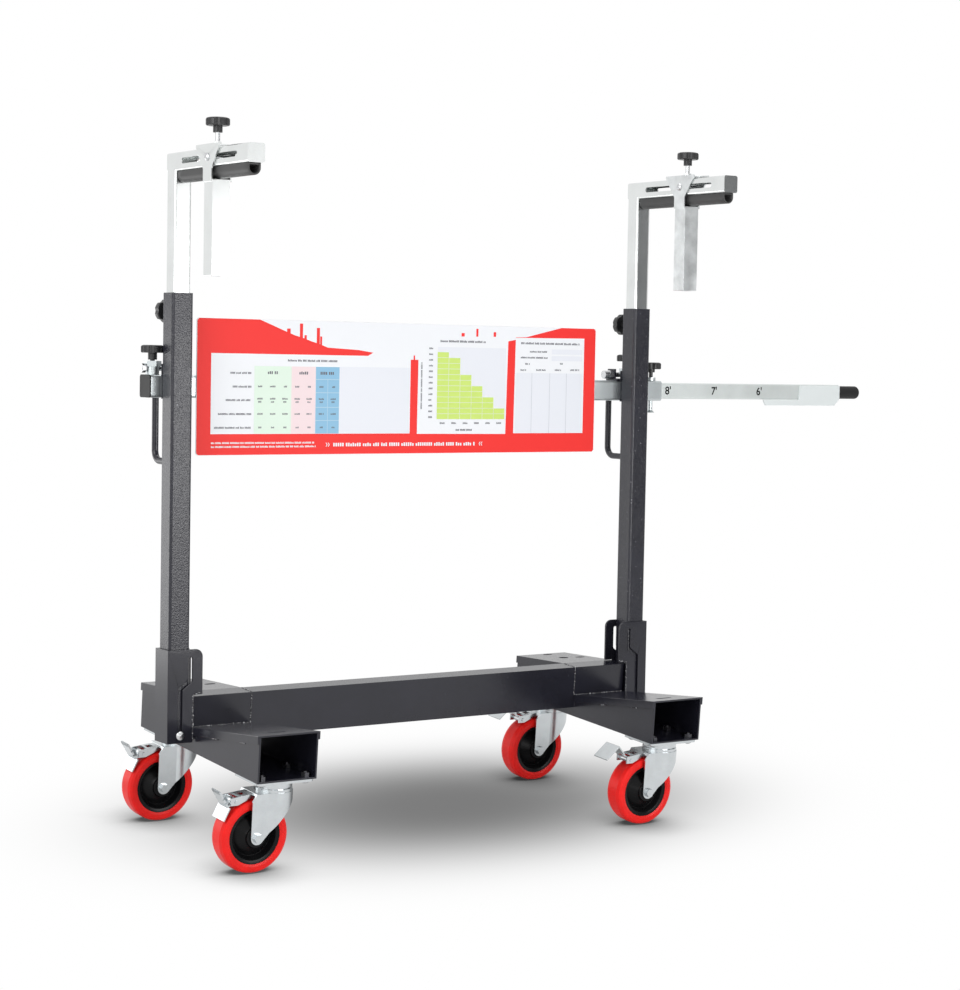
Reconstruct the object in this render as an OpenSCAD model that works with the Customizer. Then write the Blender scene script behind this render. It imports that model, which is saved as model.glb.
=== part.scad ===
// Drywall cart: a wheeled base with two leaning posts, telescopic hooks and a sliding end stop.
// Millimetres. X runs along the cart, -Y is the loading side, Z is up and the floor is z = 0.

/* [Base] */
// Distance of each arm from the middle of the cart
arm_x = 523; // [460:1:580]
// Width of an arm over its cover
arm_w = 150; // [130:1:180]
// Length of an arm on each side of the middle
arm_l = 280; // [240:1:340]
// Height of an arm at its open end
arm_h = 103; // [90:1:120]
// Height of the loading side of an arm at the spine
deck_in = 54; // [44:1:70]
// Sheet thickness of the arms and covers
sheet = 4; // [3:0.5:6]
// Depth of the folded edge of an arm cover
lip = 18; // [12:1:26]
// Height of the spine tube
spine_h = 100; // [80:1:120]
// Thickness of the spine tube
spine_t = 50; // [40:1:60]
// Wall of the spine tube
spine_wall = 4; // [3:0.5:6]
// Height of the spine above the underside of the arms
spine_up = 23; // [15:1:30]
// Distance of the spine behind the middle of the arms
spine_y = 54; // [40:1:70]

/* [Castors] */
// Wheel diameter
wheel_d = 160; // [150:1:170]
// Tyre width
wheel_w = 50; // [44:1:52]
// Diameter of the wheel's core under the tyre
core_d = 120; // [104:1:126]
// Height of the castor's top plate above the floor
castor_h = 203; // [198:1:212]
// Distance of each castor from the end of its arm
castor_in = 58; // [56:1:80]
// Offset of the wheel behind the swivel axis
trail = 52; // [46:1:55]
// Distance of the top plate's ends from the sides of the arm
plate_in = 7.5; // [6:0.5:11]
// Top plate width
plate_y = 110; // [100:1:112]
// Top plate thickness
plate_t = 6; // [5:0.5:8]
// Distance of the bolts from the top plate's ends
hole_in = 15; // [13.5:0.5:20]
// Bolt spacing across the plate
hole_y = 80; // [76:1:84]
// Castor bolt diameter
cbolt_d = 10; // [8:1:11]
// Axle diameter
axle_d = 12; // [10:1:16]
// Kingpin diameter
king_d = 16; // [12:1:18]
// Thickness of the pressed fork
fork_t = 4; // [3:0.5:5]
// Diameter of the swivel head
head_d = 84; // [78:1:92]
// Width of the brake pedal
pedal_w = 50; // [40:1:54]

/* [Posts] */
// Distance of each post from the middle of the cart
post_x = 629; // [616:1:650]
// Side of the post tube
post_w = 50; // [46:1:56]
// Wall of the post tube
post_wall = 4; // [3:0.25:4.25]
// Corner radius of the post tube
post_r = 6; // [4.5:0.5:8]
// Height of the post's top along the post
post_top = 1205; // [1150:1:1300]
// Angle by which the posts lean back
lean = 4.2; // [2:0.1:6]
// Distance of the posts' foot behind the middle of the arms
post_y = 27; // [22:1:31]

/* [Sockets] */
// Sheet thickness of the post sockets
sock_t = 5; // [4:0.5:6]
// Clearance between a post and its socket
sock_gap = 0.6; // [0.3:0.1:1]
// Height of the socket's lower end along the post
sock_bot = 225; // [218:1:235]
// Height of the socket's upper end along the post
sock_top = 430; // [415:1:470]
// Reach of the socket's cheeks from the post's axis
sock_reach = 54; // [48:1:62]
// Radius of the cheeks' upper corner
sock_r = 17; // [8:1:22]
// Height of the pivot bolt along the post
pin_t = 242; // [240:1:252]
// Pivot bolt diameter
pin_d = 10; // [8:0.5:12]
// Upper end of the straight lower part of the slot
slot_knee = 344; // [340:1:350]
// Sideways step of the slot
slot_step = 24; // [20:1:28]
// Upper end of the slot along the post
slot_end = 408; // [395:1:411]

/* [Masts] */
// Side of the mast and hook tube
mast_w = 40; // [36:0.5:41]
// Wall of the mast tube
mast_wall = 3; // [2:0.25:4]
// Corner radius of the mast tube
mast_r = 5; // [4:0.25:6]
// Lower end of the mast inside the post
mast_in = 500; // [380:1:560]
// Height of the left hook's top above its post
mast_up_l = 300; // [270:1:340]
// Height of the right hook's top above its post
mast_up_r = 309; // [270:1:340]
// Length of the hook in front of the mast's axis
hook_l = 347; // [320:1:380]
// Thickness of the hook's end cap
cap_t = 3; // [2:0.5:5]
// Start of the slot in front of the mast's axis
slot_a = 50; // [44:1:60]
// End of the slot in front of the mast's axis
slot_b = 300; // [280:1:310]
// Height of the slot in the hook
hslot_h = 12; // [11:0.5:14]
// Width of the rubber pad under the hook
pad_w = 30; // [26:1:34]
// Height of the rubber pad
pad_h = 25; // [22:1:28]
// Wall of the hollow pad
pad_wall = 4; // [3:0.5:5]

/* [Clamps] */
// Place of the left clamp in front of the mast's axis
clamp_l = 176; // [150:1:200]
// Place of the right clamp in front of the mast's axis
clamp_r = 186; // [150:1:200]
// Sheet thickness of the clamp saddle
sad_t = 4; // [3:0.5:5]
// Clearance between the saddle and the hook
sad_gap = 0.4; // [0.3:0.1:1]
// Width of the saddle's upper edge
sad_w = 104; // [80:1:112]
// Height of the carriage above the hook
sad_h = 7.5; // [6.5:0.5:12]
// Depth of the clamp leg
leg_w = 38; // [34:1:44]
// Distance of the leg's lower end below the hook's top
leg_drop = 267; // [230:1:290]
// Clamp bolt diameter
sbolt_d = 10; // [8:0.5:10]
// Diameter of the clamp screws
screw_d = 10; // [8:0.5:11]
// Diameter of the clamp knobs
knob_d = 51; // [46:1:56]
// Height of a knob's head
knob_h = 17; // [14:1:20]

/* [Rail] */
// Side of the rail tube
rail_w = 50; // [47:1:56]
// Wall of the rail tube
rail_wall = 4; // [3:0.25:4.5]
// Left end of the rail
rail_l = 680; // [670:1:720]
// Right end of the rail
rail_r = 738; // [715:1:780]
// Height of the rail's axis along the posts
rail_t = 1002; // [950:1:1060]
// Thickness of the plate between a post and the rail
brk_t = 5; // [4:0.5:8]
// Gap between the left post and the panel
panel_l = 35.5; // [12:0.5:90]
// Gap between the right post and the panel
panel_r = 79.5; // [12:0.5:120]
// Panel height
panel_h = 303; // [240:1:330]
// Panel thickness
panel_t = 3; // [2:0.5:4]
// Diameter of the grab handles
grab_d = 15; // [12:0.5:18]
// Distance of a grab handle behind the post's axis
grab_n = 106; // [98:1:125]
// Height of the grab handle's lower leg along the post
grab_t = 837; // [780:1:880]

/* [End stop] */
// Side of the sliding bar
bar_w = 40; // [34:0.5:40.5]
// Inner end of the bar
bar_in = 180; // [120:1:260]
// Outer end of the bar
bar_out = 1346; // [1300:1:1420]
// Length of the grip
grip_l = 82; // [70:1:110]
// Diameter of the grip
grip_d = 34; // [28:1:36]
// Length of the stop plate
stop_l = 268; // [230:1:300]
// Depth of the stop plate below the bar
stop_drop = 15; // [10:1:20]
// Thickness of the stop plate
stop_t = 4; // [3:0.5:4.5]

/* [Hidden] */
$fn = 48;
fit = 0.05;
tip_gap = 0.4;
seat = 0.1;
eps = 1;
weld_gap = 0.6;
arm_z = castor_h;
deck_out_z = arm_z + arm_h;
deck_in_z = arm_z + deck_in;
castor_y = arm_l - castor_in;
plate_x = arm_w - 2 * plate_in;
hole_x = plate_x - 2 * hole_in;
spine_z0 = arm_z + spine_up;
spine_z1 = spine_z0 + spine_h;
spine_y0 = spine_y - spine_t / 2;
spine_y1 = spine_y + spine_t / 2;
block_x = arm_x + arm_w / 2;
near_slope = (deck_out_z - deck_in_z) / (arm_l + spine_y0);
near_v = sheet / cos(atan(near_slope));
far_v = sheet / cos(atan((spine_z1 - deck_out_z) / (arm_l - spine_y1)));
ph = post_w / 2;
web_x = post_x + ph + sock_gap;
cheek_n = ph + sock_gap;
sock_step = (spine_z1 + (cheek_n + sock_t) * sin(lean)) / cos(lean) + 1;
slot_w = pin_d + 0.8;
post_b = pin_t - 14;
mh = mast_w / 2;
rail_n0 = ph + brk_t;
rail_n = rail_n0 + rail_w / 2;
rail_top = rail_t + rail_w / 2;
rail_bot = rail_t - rail_w / 2;
bh = bar_w / 2;
boss_d = 29;
boss_h = 30;
lug_t = 5;
pin_up = 14;
bar_knob_x = rail_r - 16;
grip_x = bar_out + grip_l;
x_mid = (grip_x - rail_l) / 2;
axle_z = wheel_d / 2;
hub_w = wheel_w + 10;
fork_in = hub_w / 2 + 1;
crown_z = wheel_d + 10;
race_h = 9;
race_z = crown_z + fork_t;
cup_z = race_z + race_h + 0.3;
leg_r = 15;
brk_x = -trail - 46;
brk_end = brk_x - 13;
brk_z = crown_z - 12;
brk_d = 8;
cheek_y = 20;

coat = "#3a3b40";
zinc = "#c9cdd0";
black = "#1d1d1f";
red = "#d8252b";

// The middle of the whole cart, grip included, lies over the origin.
module place() { translate([-x_mid, 0, 0]) children(); }
// The frame of the posts: x, distance behind the posts' axis, height along the post.
module leaning() { place() translate([0, post_y, 0]) rotate([-lean, 0, 0]) children(); }
// Extrudes a (y, z) outline along x, from x0 to x1.
module along_x(x0, x1) {
  translate([x0, 0, 0]) rotate([90, 0, 90]) linear_extrude(x1 - x0) children();
}
// Extrudes an (x, z) outline along y, from y0 to y1.
module along_y(y0, y1) {
  translate([0, y1, 0]) rotate([90, 0, 0]) linear_extrude(y1 - y0) children();
}
module rounded(w, h, r) {
  square([w - 2 * r, h], center = true);
  square([w, h - 2 * r], center = true);
  for (sx = [-1, 1], sy = [-1, 1])
    translate([sx * (w / 2 - r), sy * (h / 2 - r)]) circle(r);
}
module tube2d(w, wall, r) {
  difference() {
    rounded(w, w, r);
    rounded(w - 2 * wall, w - 2 * wall, max(r - wall, 0.5));
  }
}
module rod_x(d, x0, x1) { translate([x0, 0, 0]) rotate([0, 90, 0]) cylinder(d = d, h = x1 - x0); }
module rod_y(d, y0, y1) { translate([0, y1, 0]) rotate([90, 0, 0]) cylinder(d = d, h = y1 - y0); }
module hex(d, h) { cylinder(d = d, h = h, $fn = 6); }

// Arms, covers and spine.
module cross_side() {
  polygon([[-arm_l, arm_z], [arm_l, arm_z], [arm_l, deck_out_z - far_v],
    [spine_y1, spine_z1 - far_v], [spine_y1, spine_z0], [spine_y0, spine_z0],
    [spine_y0, deck_in_z - near_v], [-arm_l, deck_out_z - near_v]]);
}
module cross(x) {
  half = arm_w / 2 - sheet;
  place() translate([x, 0, 0]) difference() {
    union() {
      along_x(-half, -half + sheet) cross_side();
      along_x(half - sheet, half) cross_side();
      translate([-half, -arm_l, arm_z]) cube([2 * half, 2 * arm_l, sheet]);
      difference() {
        translate([-arm_w / 2, spine_y0, spine_z0]) cube([arm_w, spine_t, spine_h]);
        translate([-arm_w / 2 - eps, spine_y0 + spine_wall, spine_z0 + spine_wall])
          cube([arm_w + 2 * eps, spine_t - 2 * spine_wall, spine_h - 2 * spine_wall]);
      }
    }
    for (sx = [-1, 1], sy = [-1, 1], c = [-1, 1])
      translate([sx * hole_x / 2, c * castor_y + sy * hole_y / 2, arm_z - eps])
        cylinder(d = cbolt_d + 1, h = sheet + 2 * eps);
  }
}
module cover_strip(y0, z0, y1, z1, top, low) {
  polygon([[y0, z0 - top], [y1, z1 - top], [y1, z1 - low], [y0, z0 - low]]);
}
module cover(x, y0, z0, y1, z1, v) {
  place() translate([x, 0, 0]) difference() {
    union() {
      along_x(-arm_w / 2, arm_w / 2) cover_strip(y0, z0, y1, z1, 0, v);
      along_x(-arm_w / 2, -arm_w / 2 + sheet) cover_strip(y0, z0, y1, z1, v / 2, lip);
      along_x(arm_w / 2 - sheet, arm_w / 2) cover_strip(y0, z0, y1, z1, v / 2, lip);
    }
    if (y0 < 0) translate([0, -castor_y - 4, arm_z]) slot_hole(14, 42, arm_h + spine_h);
    else {
      translate([0, castor_y - 41, arm_z]) cylinder(d = 24, h = arm_h + spine_h);
      translate([44, castor_y - 52, arm_z]) slot_hole(14, 26, arm_h + spine_h);
      translate([8, castor_y + 38, arm_z]) slot_hole(14, 26, arm_h + spine_h);
    }
  }
}
module slot_hole(w, l, h) {
  translate([-(l - w) / 2, -w / 2, 0]) cube([l - w, w, h]);
  for (s = [-1, 1]) translate([s * (l - w) / 2, 0, 0]) cylinder(d = w, h = h);
}
module spine() {
  color(coat) place() difference() {
    translate([-arm_x + arm_w / 2, spine_y0, spine_z0])
      cube([2 * arm_x - arm_w, spine_t, spine_h]);
    translate([-arm_x, spine_y0 + spine_wall, spine_z0 + spine_wall])
      cube([2 * arm_x, spine_t - 2 * spine_wall, spine_h - 2 * spine_wall]);
  }
}
module cross_left() { color(coat) cross(-arm_x); }
module cross_right() { color(coat) cross(arm_x); }
module deck_near(x) {
  color(coat) cover(x, -arm_l, deck_out_z, spine_y0 - weld_gap, deck_in_z + weld_gap * near_slope, near_v);
}
module deck_far(x) { color(coat) cover(x, arm_l, deck_out_z, spine_y1, spine_z1, far_v); }
module deck_near_left() { deck_near(-arm_x); }
module deck_near_right() { deck_near(arm_x); }
module deck_far_left() { deck_far(-arm_x); }
module deck_far_right() { deck_far(arm_x); }

// Post sockets with the stepped slot in both cheeks.
module cheek2d() {
  x0 = post_x - sock_reach;
  foot = block_x + weld_gap / 2;
  translate([foot, sock_bot]) square([web_x + sock_t - foot, sock_step - sock_bot + eps]);
  translate([x0, sock_step]) square([web_x + sock_t - x0, sock_top - sock_r - sock_step]);
  translate([x0 + sock_r, sock_step]) square([web_x + sock_t - x0 - sock_r, sock_top - sock_step]);
  translate([x0 + sock_r, sock_top - sock_r]) circle(sock_r);
}
module slot2d() {
  up = slot_knee + slot_step * 0.75;
  translate([post_x - slot_w / 2, pin_t]) square([slot_w, slot_knee - pin_t]);
  translate([post_x, pin_t]) circle(d = slot_w);
  translate([post_x, slot_knee]) circle(d = slot_w);
  translate([post_x, slot_knee]) rotate(atan2(up - slot_knee, -slot_step)) translate([0, -slot_w / 2])
    square([norm([slot_step, up - slot_knee]), slot_w]);
  translate([post_x - slot_step, up]) circle(d = slot_w);
  translate([post_x - slot_step - slot_w / 2, up]) square([slot_w, slot_end - up]);
  translate([post_x - slot_step, slot_end]) circle(d = slot_w);
}
module socket(s) {
  color(coat) leaning() mirror([s < 0 ? 1 : 0, 0, 0]) union() {
    for (k = [-1, 1]) along_y(k > 0 ? cheek_n : -cheek_n - sock_t, k > 0 ? cheek_n + sock_t : -cheek_n)
      difference() {
        cheek2d();
        slot2d();
      }
    translate([web_x, -cheek_n - sock_t / 2, sock_bot])
      cube([sock_t, 2 * cheek_n + sock_t, sock_top - sock_bot]);
  }
}
module socket_left() { socket(-1); }
module socket_right() { socket(1); }

// Castors, each drawn about its swivel axis and trailing towards -x.
module at_castor(sx, sy) { place() translate([sx * arm_x, sy * castor_y, 0]) children(); }
module castor_plate() {
  difference() {
    union() {
      translate([0, 0, arm_z - plate_t]) linear_extrude(plate_t) rounded(plate_x, plate_y, 9);
      translate([0, 0, cup_z]) cylinder(d = head_d - 4, h = arm_z - plate_t - cup_z);
      translate([0, 0, crown_z - 6]) cylinder(d = king_d, h = arm_z - crown_z);
      translate([0, 0, crown_z - 8]) cylinder(d = king_d + 9, h = 7.7);
    }
    for (sx = [-1, 1], sy = [-1, 1])
      translate([sx * hole_x / 2, sy * hole_y / 2, arm_z - plate_t - eps])
        cylinder(d = cbolt_d + 1, h = plate_t + 2 * eps);
  }
}
module castor_plates() {
  color(zinc) for (sx = [-1, 1], sy = [-1, 1]) at_castor(sx, sy) castor_plate();
}
module castor_bolt() {
  low = arm_z - plate_t;
  translate([0, 0, low - 1]) cylinder(d = cbolt_d, h = plate_t + sheet + 12);
  translate([0, 0, low - 6]) intersection() {
    cylinder(d = cbolt_d * 2, h = 6);
    translate([0, 0, 12]) sphere(r = 12.5);
  }
  translate([0, 0, arm_z + sheet]) hex(cbolt_d * 1.9, 8);
}
module castor_bolts() {
  color(zinc) for (sx = [-1, 1], sy = [-1, 1]) at_castor(sx, sy)
    for (kx = [-1, 1], ky = [-1, 1]) translate([kx * hole_x / 2, ky * hole_y / 2, 0]) castor_bolt();
}
// Side view of the fork: upright rear edge, slanted leading edge, round end at the axle.
module leg2d() {
  front = head_d / 2 + 2;
  ang = atan2(crown_z - 4 - axle_z, trail + front);
  polygon([[-trail - leg_r, axle_z], [-trail - leg_r, crown_z - 12], [-trail - leg_r + 10, race_z],
    [front, race_z], [front, crown_z - 6],
    [-trail + leg_r * sin(ang), axle_z - leg_r * cos(ang)]]);
  translate([-trail, axle_z]) circle(leg_r);
}
// Plan of the pressed fork: two flat legs and a round shoulder under the swivel head.
module fork_plan(half, r) {
  translate([-trail - leg_r - eps, -half]) square([trail + leg_r + eps, 2 * half]);
  circle(r, $fn = 72);
}
module brake_arm2d() {
  polygon([[-trail, race_z], [brk_end, crown_z - 3], [brk_end, brk_z - 7], [brk_x + 4, brk_z - 7],
    [-trail - leg_r + 3, crown_z - 6]]);
}
module fork() {
  out = fork_in + fork_t;
  r = head_d / 2;
  difference() {
    union() {
      difference() {
        intersection() {
          along_y(-head_d, head_d) leg2d();
          translate([0, 0, axle_z - leg_r - eps]) linear_extrude(wheel_d) fork_plan(out, r);
        }
        translate([0, 0, axle_z - leg_r - 2 * eps])
          linear_extrude(crown_z - axle_z + leg_r + 2 * eps) fork_plan(fork_in, r - fork_t);
      }
      translate([0, 0, crown_z]) cylinder(d = head_d - 3, h = fork_t + race_h - 3);
      translate([0, 0, crown_z]) cylinder(d = head_d - 12, h = fork_t + race_h);
      difference() {
        along_y(-cheek_y, cheek_y) brake_arm2d();
        translate([0, 0, -fork_t]) along_y(-cheek_y + 3, cheek_y - 3) brake_arm2d();
        translate([brk_end - eps, -cheek_y + 3, brk_z - 20]) cube([brk_x + 10 - brk_end, 2 * cheek_y - 6, 60]);
        translate([brk_x + 14, -9, brk_z]) cube([14, 18, 40]);
      }
      translate([brk_x, 0, brk_z]) rod_y(brk_d, -cheek_y - 2, cheek_y + 2);
      translate([-trail, 0, axle_z]) rod_y(axle_d, -out - 4, out + 4);
      for (s = [-1, 1]) translate([-trail, s > 0 ? out + 8 : -out, axle_z]) rotate([90, 0, 0])
        hex(axle_d * 1.7, 8);
    }
    translate([0, 0, crown_z - eps]) cylinder(d = king_d + 2 * fit, h = fork_t + race_h + 2 * eps);
  }
}
module fork_nl() { color(zinc) at_castor(-1, -1) fork(); }
module fork_nr() { color(zinc) at_castor(1, -1) fork(); }
module fork_fl() { color(zinc) at_castor(-1, 1) fork(); }
module fork_fr() { color(zinc) at_castor(1, 1) fork(); }
module wheel_spin() { translate([-trail, 0, axle_z]) rotate([90, 0, 0]) rotate_extrude($fn = 96) children(); }
module core_outline() {
  bore = axle_d / 2 + fit;
  polygon([[bore, -hub_w / 2], [22, -hub_w / 2], [24, -hub_w / 2 + 6], [core_d / 2 - 16, -8],
    [core_d / 2 - 8, -wheel_w / 2 + 4], [core_d / 2, -wheel_w / 2 + 2],
    [core_d / 2, wheel_w / 2 - 2], [core_d / 2 - 8, wheel_w / 2 - 4], [core_d / 2 - 16, 8],
    [24, hub_w / 2 - 6], [22, hub_w / 2], [bore, hub_w / 2]]);
}
module tyre_outline() {
  rim = core_d / 2;
  crown = wheel_d / 2;
  half = wheel_w / 2;
  polygon([[rim, -half + 2], [rim + 5, -half], [crown - 7, -half], [crown - 2.5, -half + 3],
    [crown, -half + 11], [crown, half - 11], [crown - 2.5, half - 3], [crown - 7, half],
    [rim + 5, half], [rim, half - 2]]);
}
module core(sx, sy) { color(black) at_castor(sx, sy) wheel_spin() core_outline(); }
module tyre(sx, sy) { color(red) at_castor(sx, sy) wheel_spin() tyre_outline(); }
module core_nl() { core(-1, -1); }
module core_nr() { core(1, -1); }
module core_fl() { core(-1, 1); }
module core_fr() { core(1, 1); }
module tyre_nl() { tyre(-1, -1); }
module tyre_nr() { tyre(1, -1); }
module tyre_fl() { tyre(-1, 1); }
module tyre_fr() { tyre(1, 1); }
// The pedal is a bent plate on a sleeve round the brake pin.
module pedal_sleeve(w) {
  translate([brk_x, 0, brk_z]) rod_y(brk_d + 6, -w / 2, w / 2);
}
module pedal_bore() {
  translate([brk_x, 0, brk_z]) rod_y(brk_d + 2 * fit, -pedal_w, pedal_w);
}
module strip(x0, z0, x1, z1, t) {
  l = norm([x1 - x0, z1 - z0]);
  translate([x0, z0]) rotate(atan2(z1 - z0, x1 - x0)) translate([0, -t / 2]) square([l, t]);
}
module pedal_up() {
  inner = 2 * (cheek_y - 3) - 1;
  difference() {
    union() {
      pedal_sleeve(inner);
      along_y(-inner / 2, inner / 2) strip(brk_x - 4, brk_z + 3, brk_x - 26, brk_z + 18, 3);
      along_y(-pedal_w / 2, pedal_w / 2) {
        strip(brk_x - 25, brk_z + 17.5, brk_x - 42, brk_z + 37, 3);
        strip(brk_x - 42, brk_z + 37, brk_x - 76, brk_z + 8, 3);
        translate([brk_x - 42, brk_z + 37]) circle(d = 3);
      }
    }
    pedal_bore();
  }
}
module pedal_down() {
  inner = 2 * (cheek_y - 3) - 1;
  difference() {
    union() {
      pedal_sleeve(inner);
      along_y(-inner / 2, inner / 2) strip(brk_x - 4, brk_z - 3, brk_x - 20, brk_z - 10, 3);
      along_y(-18, 18) strip(brk_x - 16, brk_z - 13, brk_x - 39, brk_z + 25, 4);
      along_y(-pedal_w / 2, pedal_w / 2) strip(brk_x - 17, brk_z - 10, brk_x - 30, brk_z - 37, 3);
    }
    pedal_bore();
    for (k = [-2 : 2]) translate([brk_x - 39, k * 7.2, brk_z + 25]) rotate([0, -31, 0])
      cube([10, 3.4, 14], center = true);
    for (k = [0 : 1], s = [-1, 1]) translate([brk_x - 23.5 - k * 5.6, s * 18, brk_z - 1 + k * 9.5])
      rotate([0, -31, 0]) cube([10, 7, 4], center = true);
  }
}
module pedal_nl() { color(zinc) at_castor(-1, -1) pedal_down(); }
module pedal_fl() { color(zinc) at_castor(-1, 1) pedal_down(); }
module pedal_nr() { color(zinc) at_castor(1, -1) pedal_up(); }
module pedal_fr() { color(zinc) at_castor(1, 1) pedal_up(); }

// Posts.
module post(s) {
  color(coat) leaning() translate([s * post_x, 0, 0]) difference() {
    union() {
      translate([0, 0, post_b]) linear_extrude(post_top - post_b) tube2d(post_w, post_wall, post_r);
      translate([0, 0, nut_t()]) rod_y(screw_d * 2.2, ph - post_wall / 2, ph + 12);
    }
    translate([0, 0, nut_t()]) rod_y(screw_d + 2 * fit, ph - post_wall - eps, ph + 12 + eps);
    translate([0, 0, pin_t]) rod_y(pin_d + 2 * fit, -post_w, post_w);
  }
}
function nut_t() = post_top - 39;
module post_left() { post(-1); }
module post_right() { post(1); }
module pivot_bolt() {
  out = cheek_n + sock_t + 0.3;
  rod_y(pin_d, -out, out + 9);
  translate([0, out + 8, 0]) rotate([90, 0, 0]) hex(pin_d * 1.8, 8);
  translate([0, -out, 0]) rotate([90, 0, 0]) intersection() {
    cylinder(d = pin_d * 1.9, h = 7);
    translate([0, 0, -5]) sphere(r = 12);
  }
}
module pivot_bolts() {
  color(zinc) leaning() for (s = [-1, 1]) translate([s * post_x, 0, pin_t]) pivot_bolt();
}

// Masts with their hooks.
function hook_top(s) = post_top + (s < 0 ? mast_up_l : mast_up_r);
function clamp_n(s) = -(s < 0 ? clamp_l : clamp_r);
module mast(s) {
  top = hook_top(s);
  color(zinc) leaning() translate([s * post_x, 0, 0]) difference() {
    union() {
      translate([0, 0, post_top - mast_in]) linear_extrude(top - mh - post_top + mast_in)
        rounded(mast_w, mast_w, mast_r);
      translate([0, mh, top - mh]) rotate([90, 0, 0])
        linear_extrude(mh + hook_l - cap_t) rounded(mast_w, mast_w, mast_r);
    }
    translate([0, 0, post_top - mast_in - eps]) linear_extrude(top - mh - post_top + mast_in)
      rounded(mast_w - 2 * mast_wall, mast_w - 2 * mast_wall, max(mast_r - mast_wall, 0.5));
    translate([0, mh - mast_wall, top - mh]) rotate([90, 0, 0]) linear_extrude(mh + hook_l)
      rounded(mast_w - 2 * mast_wall, mast_w - 2 * mast_wall, max(mast_r - mast_wall, 0.5));
    translate([0, 0, top - mh]) along_x(-mast_w, mast_w) {
      translate([-slot_b + hslot_h / 2, -hslot_h / 2]) square([slot_b - slot_a - hslot_h, hslot_h]);
      translate([-slot_b + hslot_h / 2, 0]) circle(d = hslot_h);
      translate([-slot_a - hslot_h / 2, 0]) circle(d = hslot_h);
    }
  }
}
module mast_left() { mast(-1); }
module mast_right() { mast(1); }
module cap(s) {
  color(zinc) leaning() translate([s * post_x, -hook_l, hook_top(s) - mh]) rotate([-90, 0, 0]) {
    linear_extrude(cap_t) rounded(mast_w, mast_w, mast_r);
    plug = mast_w - 2 * mast_wall - 0.4;
    translate([0, 0, cap_t]) linear_extrude(8) rounded(plug, plug, 2);
  }
}
module cap_left() { cap(-1); }
module cap_right() { cap(1); }
module pad2d(w, h) {
  translate([-w / 2, -h + w / 2]) square([w, h - w / 2]);
  intersection() {
    translate([0, -h + w / 2]) circle(d = w);
    translate([-w / 2, -h]) square([w, h]);
  }
}
module pad(s) {
  color(black) leaning() translate([s * post_x, -mh - 1, hook_top(s) - mast_w - seat]) rotate([90, 0, 0])
    linear_extrude(hook_l - mh - 8) difference() {
      pad2d(pad_w, pad_h);
      translate([0, -pad_wall]) pad2d(pad_w - 2 * pad_wall, pad_h - 2 * pad_wall);
    }
}
module pad_left() { pad(-1); }
module pad_right() { pad(1); }

// Knobs: a lobed head on a neck, with its screw, drawn upwards from the screw's tip.
module knob(screw_l, neck_l) {
  z = screw_l + neck_l;
  r = knob_d / 2;
  cylinder(d = screw_d, h = screw_l + 1);
  translate([0, 0, screw_l]) cylinder(d = screw_d * 2, h = neck_l + 1);
  translate([0, 0, z]) intersection() {
    linear_extrude(knob_h) difference() {
      circle(d = knob_d, $fn = 96);
      for (k = [0 : 5]) rotate(k * 60) translate([knob_d / 2 + 6, 0]) circle(9.5);
    }
    rotate_extrude($fn = 96) polygon([[0, 0], [r - 2, 0], [r + 0.5, 2.5], [r + 0.5, knob_h - 5],
      [r - 1.5, knob_h - 1.5], [r - 6, knob_h], [0, knob_h]]);
  }
}
module mast_knob(s) {
  color(black) leaning() translate([s * post_x, mh + tip_gap, nut_t()]) rotate([-90, 0, 0]) knob(21, 8);
}
module mast_knob_left() { mast_knob(-1); }
module mast_knob_right() { mast_knob(1); }

// Clamp carriages that slide along the hooks.
module saddle2d(s) {
  up = mh + sad_h;
  low = -mh - pad_h - 1;
  polygon([[-sad_w / 2, up], [sad_w / 2, up], [sad_w / 2, up - 6], [leg_w / 2, -mh - 4],
    [leg_w / 2, low - 5], [-leg_w / 2, low - 5], [-leg_w / 2, -mh - 4], [-sad_w / 2, up - 6]]);
}
module carriage(s) {
  in = mh + sad_gap;
  out = in + sad_t;
  low = -mh - pad_h - 1;
  color(zinc) leaning() translate([s * post_x, clamp_n(s), hook_top(s) - mh]) difference() {
    union() {
      along_x(-out, -in) saddle2d(s);
      along_x(in, out) saddle2d(s);
      translate([-out, -leg_w / 2, mh + sad_h - sad_t]) cube([2 * out, leg_w, sad_t]);
      translate([0, 0, mh + sad_h]) hex(screw_d * 1.9, 6);
      translate([0, 0, mh - leg_drop]) linear_extrude(low - mh + leg_drop) difference() {
        square([2 * in, leg_w], center = true);
        square([2 * in - 6, leg_w - 6], center = true);
      }
    }
    translate([0, 0, mh + eps]) cylinder(d = screw_d + 2 * fit, h = 40);
    rod_x(sbolt_d + 2 * fit, -2 * out, 2 * out);
  }
}
module carriage_left() { carriage(-1); }
module carriage_right() { carriage(1); }
module carriage_bolt(s) {
  out = mh + sad_gap + sad_t;
  color(zinc) leaning() translate([s * post_x, clamp_n(s), hook_top(s) - mh]) {
    rod_x(sbolt_d, -out - 3, out + 9);
    translate([-out, 0, 0]) rotate([0, -90, 0]) intersection() {
      cylinder(d = sbolt_d * 1.8, h = 5);
      translate([0, 0, -6]) sphere(r = 11.5);
    }
    translate([out, 0, 0]) rotate([0, 90, 0]) hex(sbolt_d * 1.8, 8);
  }
}
module carriage_bolt_left() { carriage_bolt(-1); }
module carriage_bolt_right() { carriage_bolt(1); }
module clamp_knob(s) {
  color(black) leaning() translate([s * post_x, clamp_n(s), hook_top(s) + tip_gap]) knob(32, 14);
}
module clamp_knob_left() { clamp_knob(-1); }
module clamp_knob_right() { clamp_knob(1); }

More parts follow.
